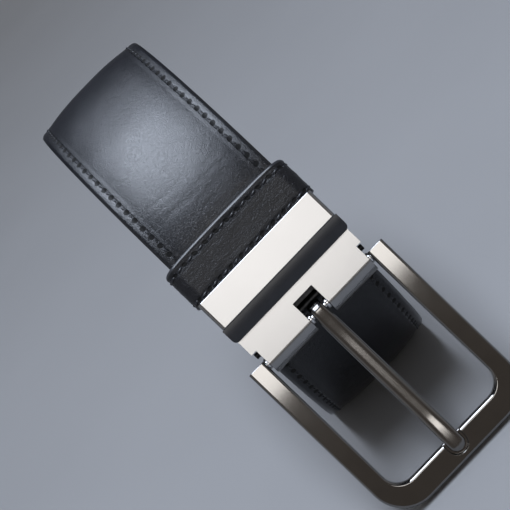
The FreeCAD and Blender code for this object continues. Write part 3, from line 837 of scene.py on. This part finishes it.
def build_leather_keeper(thread, paint):
    """The keeper's loop, with waves across its face, and its two rows of stitching."""
    x, z, nx, nz, spots = loop_outline(LOOP_STATIONS)
    y, depth, share = (np.array(column, float) for column in zip(*loop_section()))
    wave = waves(spots[:, None] * 1.6, y[None, :] * 3.4, LOOP_SEED)
    sunk = depth[None, :] + share[None, :] * LOOP_WAVE * (1 + wave)
    px = x[:, None] - nx[:, None] * sunk
    pz = z[:, None] - nz[:, None] * sunk
    py = bowed(y[None, :] + 0 * px, px)
    points = to_world(np.stack([px, py, pz], -1).reshape(-1, 3))
    uvs = np.stack([y[None, :] + 0 * px, spots[:, None] + 0 * px], -1).reshape(-1, 2) * MM
    loop = mesh_object("keeper_loop", points, ring_faces(LOOP_STATIONS, len(y), False), uvs)
    total = spots[-1] + spots[1]
    number = round(total / LOOP_STITCH_PITCH)
    on_edge = share == EDGE_SHARE
    coat(loop, len(y), (keeper_leather(total / number), paint), on_edge & np.roll(on_edge, -1))
    outward_normals(loop)
    place(loop, "keeper", "keeper_leather", None, "leather_keeper")

    at = (np.arange(number) + 0.5) * total / number
    rx, rz, rnx, rnz = (np.interp(at, spots, line) for line in (x, z, nx, nz))
    centres = [np.stack([rx - LOOP_STITCH_SUNK * rnx, bowed(row + 0 * rx, rx),
                         rz - LOOP_STITCH_SUNK * rnz], -1)
               for row in (LOOP_NEAR + LOOP_ROW_INSET, LOOP_FAR - LOOP_ROW_INSET)]
    runs = np.stack([-rnz, 0 * rx, rnx], -1)
    outs = np.stack([rnx, 0 * rx, rnz], -1)
    rows = stitches("keeper_stitches", np.concatenate(centres), np.concatenate([runs, runs]),
                    np.concatenate([outs, outs]), *LOOP_STITCH)
    place(rows, "keeper", "thread", thread, "keeper_thread")


# ---------------------------------------------------------------- metalwork

FRAME_HALF = (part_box("buckle_frame")[1][0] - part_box("buckle_frame")[0][0]) / MM / 2
ARM_WIDTH = 4.8
ARM_BACK = -26.1
FRAME_END = -77.4
WINDOW_END = -70.9
FRAME_TOP = 1.0
FRAME_UNDER = -2.8
OUTER_CORNER = 9.5
INNER_CORNER = 4.8
RECESS_HALF = 2.8
RECESS_END = -75.6
RECESS_FLOOR = -0.2
AXLE_ALONG = -27.4
AXLE_DEPTH = -1.2
BORE_RADIUS = 0.8
BAR_ROUND = 0.75
KEEPER_ROUND = 0.95


def arc(x, y, radius, start, end, count=12):
    """Points on an arc, from one angle in degrees to another."""
    turns = np.radians(np.linspace(start, end, count))
    return [(x + radius * math.cos(t), y + radius * math.sin(t)) for t in turns]


def prism(outline, low, high):
    """Local work for an outline of x and y, extruded between two heights."""
    work = bmesh.new()
    face = work.faces.new([work.verts.new((x, y, low)) for x, y in outline])
    grown = bmesh.ops.extrude_face_region(work, geom=[face])
    moved = [item for item in grown["geom"] if isinstance(item, bmesh.types.BMVert)]
    bmesh.ops.translate(work, verts=moved, vec=(0, 0, high - low))
    bmesh.ops.recalc_face_normals(work, faces=work.faces)
    return work


def across_bore(half, radius):
    """Local work for a rod across the belt at the axle."""
    work = prism(arc(AXLE_DEPTH, AXLE_ALONG, radius, 0, 352.5, 48), -half, half)
    for vert in work.verts:
        depth, along, across = vert.co
        vert.co = (across, along, depth)
    bmesh.ops.recalc_face_normals(work, faces=work.faces)
    return work


def frame_piece():
    """The frame: one rounded bar bent round the window, with a round-ended rest for the prong."""
    inner = FRAME_HALF - ARM_WIDTH
    outline = [(-inner, ARM_BACK), (-FRAME_HALF, ARM_BACK)]
    outline += arc(OUTER_CORNER - FRAME_HALF, FRAME_END + OUTER_CORNER, OUTER_CORNER, 180, 270)
    outline += arc(FRAME_HALF - OUTER_CORNER, FRAME_END + OUTER_CORNER, OUTER_CORNER, 270, 360)
    outline += [(FRAME_HALF, ARM_BACK), (inner, ARM_BACK)]
    outline += arc(inner - INNER_CORNER, WINDOW_END + INNER_CORNER, INNER_CORNER, 0, -90)
    outline += arc(INNER_CORNER - inner, WINDOW_END + INNER_CORNER, INNER_CORNER, -90, -180)
    work = prism(outline, FRAME_UNDER, FRAME_TOP)
    rounded(work, lambda a, b: abs(a.z - b.z) < 0.01
            and not (abs(a.y - ARM_BACK) < 0.01 and abs(b.y - ARM_BACK) < 0.01), BAR_ROUND, 6)
    rest = [(RECESS_HALF, WINDOW_END + 1), (-RECESS_HALF, WINDOW_END + 1)]
    rest += arc(0, RECESS_END + RECESS_HALF, RECESS_HALF, 180, 360, 24)
    gaps = (world_object("rest_gap", prism(rest, RECESS_FLOOR, FRAME_TOP + 1)),
            world_object("bore_gap", across_bore(FRAME_HALF + 1, BORE_RADIUS)))
    return metal_piece("frame_bar", work, width=0.16, segments=2, tools=gaps)


def smooth_path(knots, steps):
    """A smooth line through knots: Catmull-Rom, with that many steps between two knots."""
    knots = np.array([2 * np.array(knots[0]) - knots[1], *knots,
                      2 * np.array(knots[-1]) - knots[-2]], float)
    t = np.linspace(0, 1, steps, endpoint=False)[:, None]
    parts = []
    for a, b, c, d in zip(knots, knots[1:], knots[2:], knots[3:]):
        parts.append(0.5 * (2 * b + (c - a) * t + (2 * a - 5 * b + 4 * c - d) * t ** 2
                            + (3 * b - a - 3 * c + d) * t ** 3))
    return np.concatenate([*parts, knots[-2:-1]])


# The prong's curl round the axle: its middle line's radius, the turns of its knots in degrees,
# and its thickness and width.
CURL_RADIUS = 1.87
CURL_TURNS = (-75, -45, -15, 15, 45, 70, 93)
CURL_SECTION = (2.06, 3.7)

# The prong's shaft from the axle to its tip: along, out, thickness and width of its middle line.
SHAFT = [(-31.0, 0.32, 2.2, 4.15), (-36.0, -0.04, 2.3, 4.3), (-43.0, -0.2, 2.4, 4.35),
         (-52.0, -0.24, 2.4, 4.35), (-59.0, -0.25, 2.4, 4.35), (-62.9, -0.2, 2.35, 4.35),
         (-65.2, 0.0, 2.2, 4.35), (-67.7, 0.35, 1.95, 4.35), (-70.2, 0.62, 1.7, 4.3),
         (-72.0, 0.7, 1.6, 4.25), (-73.6, 0.68, 1.52, 4.15), (-74.9, 0.6, 1.35, 4.0)]

# Lengths over which the prong's tip narrows and its curled end rounds off, and the least squared
# shares of width and thickness that they keep.
TIP_RUN = 2.0
END_RUN = 0.5
TIP_LEAST_WIDE = 0.004
TIP_LEAST_THICK = 0.01
END_LEAST_THICK = 0.05

# How square the shaft's section is, and how much squarer it is over its first stretch.
SHAFT_POWER = 2.4
ROOT_POWER = 0.9
ROOT_RUN = 14
SECTION_SIDES = 40


def prong_piece():
    """The prong: a bar that curls round the axle, dips, rises over the end bar and rounds off."""
    knots = [(AXLE_ALONG + CURL_RADIUS * math.cos(t), AXLE_DEPTH + CURL_RADIUS * math.sin(t),
              *CURL_SECTION) for t in np.radians(CURL_TURNS)]
    path = smooth_path(knots + SHAFT, 8)
    y, z, thick, wide = path.T
    run = np.gradient(path[:, :2], axis=0)
    run /= np.linalg.norm(run, axis=1, keepdims=True)
    done = np.concatenate([[0], np.cumsum(np.hypot(np.diff(y), np.diff(z)))])
    to_tip = np.clip((done[-1] - done) / TIP_RUN, 0, 1)
    to_end = np.clip(done / END_RUN, 0, 1)
    narrow = np.sqrt(np.clip(1 - (1 - to_tip) ** 2, TIP_LEAST_WIDE, 1))
    blunt = np.sqrt(np.clip(1 - (1 - to_tip) ** 3, TIP_LEAST_THICK, 1)) * np.sqrt(
        np.clip(1 - (1 - to_end) ** 2, END_LEAST_THICK, 1))
    turn = np.arange(SECTION_SIDES) * 2 * np.pi / SECTION_SIDES
    cs, sn = np.cos(turn), np.sin(turn)
    power = 2 / (SHAFT_POWER + ROOT_POWER * np.clip(1 - done / ROOT_RUN, 0, 1))[:, None]
    across = (wide / 2 * narrow)[:, None] * np.sign(cs) * np.abs(cs) ** power
    lift = (thick / 2 * blunt)[:, None] * np.sign(sn) * np.abs(sn) ** power
    outward = np.stack([run[:, 1], -run[:, 0]], -1)
    points = np.stack([across, y[:, None] + outward[:, :1] * lift,
                       z[:, None] + outward[:, 1:] * lift], -1)
    prong = mesh_object("prong_bar", to_world(points.reshape(-1, 3)),
                        ring_faces(len(path), len(turn), True))
    outward_normals(prong)
    return prong


def is_along(a, b, axis):
    """Whether an edge runs along one axis."""
    return all(abs(a[other] - b[other]) < 0.01 for other in range(3) if other != axis)


def build_metalwork(satin, gunmetal, polished, steel, shade_black, black):
    """The housing, metal keeper, sleeve, frame, prong, lever, pins and washers."""
    place(frame_piece(), "frame", "gunmetal", polished, "buckle_frame")
    place(prong_piece(), "prong", "gunmetal", gunmetal, "prong")

    bar = cad_copy("metal_keeper")
    top = max(vert.co.z for vert in bar.verts)
    side = max(vert.co.x for vert in bar.verts)
    rounded(bar, lambda a, b: is_along(a, b, 1) and abs(a.z - top) < 0.05
            and abs(abs(a.x) - side) < 0.05, KEEPER_ROUND, 6)
    keeper = metal_piece("keeper_bar", bar, width=0.4, segments=4)
    place(keeper, "belt", "satin_metal", satin, "metal_keeper")

    for node, body, slot, material, width, segments in (
            ("housing_cover", "belt", "satin_metal", satin, 0.2, 3),
            ("keeper_sleeve", "belt", "sleeve_black", black, 0.4, 4),
            # The clamp lever and pin are coloured nearly black as painted shade for the slot and
            # notches they lie in.
            ("clamp_lever", "lever", "black_oxide", shade_black, 0.12, 2),
            ("clamp_pin", "belt", "black_oxide", shade_black, 0.15, 3),
            ("hinge_axle", "belt", "pin_steel", steel, 0.15, 3),
            ("prong_spacers", "belt", "pin_steel", steel, 0.18, 3),
            ("frame_washers", "belt", "pin_steel", steel, 0.18, 3)):
        piece = metal_piece(node + "_eased", cad_copy(node), width, segments)
        place(piece, body, slot, material, node)
    staple = frame["nodes"]["keeper_staple"]
    staple.data.materials.clear()
    staple.data.materials.append(steel)


# ---------------------------------------------------------------- floor, light and camera

VIEW_DISTANCE = 450.0
VIEW_ROLL = 43.8
VIEW_AIM = (-0.93, -7.1, 1.4)
FOCAL = 133.4

FLOOR_REACH = 6.0
FLOOR_COLOURS = (0.26, 0.26, 0.264), (0.285, 0.285, 0.29)

# Places are in metres along the world's axes, from the root of the buckle stretch, but the
# backdrop light's are from the world's origin. The card's are along the belt's own axes.
# Sizes are width and height.
DAYLIGHT = (0.78, 0.86, 1.0)
WARM_WHITE = (1.0, 0.985, 0.965)
WHITE = (1.0, 1.0, 1.0)
OVERHEAD_AT, OVERHEAD_SIZE, OVERHEAD_RADIANCE = (0, -0.10, 0.76), (0.25, 0.74), 16.0
BEHIND_AT, BEHIND_SIZE, BEHIND_RADIANCE = (0, 0.46, 0.64), (0.22, 0.36), 2.6
CARD_OUT, CARD_UP, CARD_SIZE, CARD_RADIANCE = 0.62, 0.003, (0.26, 0.15), 4.0
BACKDROP_AT, BACKDROP_AIM = (0, 1.6, 0.8), (0, 0.8, 0)
BACKDROP_SIZE, BACKDROP_RADIANCE = (1.8, 0.5), 1.8

# The room's colours, and the limits between which one fades into the next.
ROOM_DARK = (0.05, 0.053, 0.062, 1)
ROOM_WARM = (0.145, 0.127, 0.113, 1)
ROOM_SIDES = (0.38, 0.385, 0.40, 1)
FRONT_LIMITS = (0.35, -0.45)
LOW_LIMITS = (0.6, 0.3)
SIDE_LIMITS = (0.5, 0.95)


def build_floor():
    """A plain pale floor."""
    recipe = Recipe("pale_floor")
    haze = recipe.noise(0.01, 2.0)
    recipe.set("Base Color", recipe.blend(haze, *FLOOR_COLOURS))
    recipe.set("Roughness", 0.85)
    recipe.set("Specular IOR Level", 0.2)
    corners = [(x * FLOOR_REACH, y * FLOOR_REACH, 0)
               for x, y in ((-1, -1), (1, -1), (1, 1), (-1, 1))]
    floor = mesh_object("floor", corners, [(0, 1, 2, 3)], smooth=False)
    floor.data.materials.append(recipe.material)


def softbox(name, centre, aim, size, radiance, colour):
    """A rectangular area light that shines from its centre to its aim."""
    data = bpy.data.lights.new(name, "AREA")
    data.shape = "RECTANGLE"
    data.size, data.size_y = size
    data.energy = radiance * size[0] * size[1] * math.pi
    data.color = colour
    obj = bpy.data.objects.new(name, data)
    bpy.context.scene.collection.objects.link(obj)
    back = (Vector(centre) - Vector(aim)).normalized()
    side = Vector((0, 0, 1)).cross(back)
    side = side.normalized() if side.length > 0.01 else Vector((1, 0, 0))
    up = back.cross(side)
    obj.matrix_world = Matrix.Translation(centre) @ Matrix((side, up, back)).transposed().to_4x4()
    obj.visible_camera = False
    return obj


def build_lights():
    """A softbox overhead, a dimmer one behind it, a card behind the camera, a backdrop light."""
    root = Vector(to_world([[0, 0, 0]])[0])
    overhead = root + Vector(OVERHEAD_AT)
    softbox("overhead", overhead, root, OVERHEAD_SIZE, OVERHEAD_RADIANCE, DAYLIGHT)
    behind = root + Vector(BEHIND_AT)
    softbox("overhead_back", behind, root, BEHIND_SIZE, BEHIND_RADIANCE, DAYLIGHT)
    card = root + OUTWARD * CARD_OUT + UPWARD * CARD_UP
    softbox("front_card", card, card - OUTWARD, CARD_SIZE, CARD_RADIANCE, WARM_WHITE)
    backdrop = softbox("backdrop_light", Vector(BACKDROP_AT), Vector(BACKDROP_AIM),
                       BACKDROP_SIZE, BACKDROP_RADIANCE, WHITE)
    backdrop.visible_glossy = False


def build_room():
    """A dark room round the scene, warmer low down in front and paler at both sides."""
    world = bpy.data.worlds.new("room")
    world.use_nodes = True
    nodes, links = world.node_tree.nodes, world.node_tree.links

    def operate(operation, *values):
        """A Math node's output."""
        made = nodes.new("ShaderNodeMath")
        made.operation = operation
        for number, value in enumerate(values):
            links.new(value, made.inputs[number])
        return made.outputs[0]

    def fade(value, limits):
        """0 to 1 between two limits, smooth and clamped."""
        made = nodes.new("ShaderNodeMapRange")
        made.interpolation_type = "SMOOTHSTEP"
        made.inputs["From Min"].default_value, made.inputs["From Max"].default_value = limits
        links.new(value, made.inputs["Value"])
        return made.outputs[0]

    def mixed(amount, colour):
        """A Mix node that leads to that colour."""
        made = nodes.new("ShaderNodeMix")
        made.data_type = "RGBA"
        links.new(amount, made.inputs[0])
        made.inputs[7].default_value = colour
        return made

    way = nodes.new("ShaderNodeSeparateXYZ")
    links.new(nodes.new("ShaderNodeTexCoord").outputs["Generated"], way.inputs[0])
    in_front = operate("MULTIPLY", fade(way.outputs["Y"], FRONT_LIMITS),
                       fade(way.outputs["Z"], LOW_LIMITS))
    warm = mixed(in_front, ROOM_WARM)
    warm.inputs[6].default_value = ROOM_DARK
    sides = mixed(fade(operate("ABSOLUTE", way.outputs["X"]), SIDE_LIMITS), ROOM_SIDES)
    links.new(warm.outputs[2], sides.inputs[6])
    links.new(sides.outputs[2], nodes["Background"].inputs["Color"])
    bpy.context.scene.world = world


def build_camera():
    """A long lens square to the buckle, rolled so that the belt runs down to the right."""
    turn = math.radians(VIEW_ROLL)
    down = -UPWARD
    right = down * math.cos(turn) + ACROSS * math.sin(turn)
    up = -down * math.sin(turn) + ACROSS * math.cos(turn)
    aim = Vector(to_world([VIEW_AIM])[0])
    data = bpy.data.cameras.new("camera")
    data.lens = FOCAL
    data.sensor_width = 36.0
    data.clip_start = 0.01
    camera = bpy.data.objects.new("camera", data)
    bpy.context.scene.collection.objects.link(camera)
    spot = aim + OUTWARD * VIEW_DISTANCE * MM
    axes = Matrix((right, up, OUTWARD)).transposed()
    camera.matrix_world = Matrix.Translation(spot) @ axes.to_4x4()
    bpy.context.scene.camera = camera


build_floor()
build_lights()
build_room()
build_camera()
THREAD = thread_material()
PAINT = painted_edge()
LINING = leather("lining_leather", (0.014, 0.012, 0.012), (0.022, 0.020, 0.019),
                 grain=2.6, relief=0.015, roughness=0.5)
build_strap(strap_leather(), LINING.material, PAINT)
build_strap_thread(THREAD)
build_leather_keeper(THREAD, PAINT)
build_metalwork(
    satin_metal("satin_nickel", (0.315, 0.313, 0.313), roughness=0.24, streak=0.3),
    satin_metal("prong_gunmetal", (0.205, 0.197, 0.189), roughness=0.17, streak=0.1),
    satin_metal("frame_gunmetal", (0.205, 0.199, 0.193), roughness=0.07, streak=0.1),
    bright_steel(), black_oxide(), sleeve_black())
bpy.context.scene.view_settings.view_transform = "Standard"
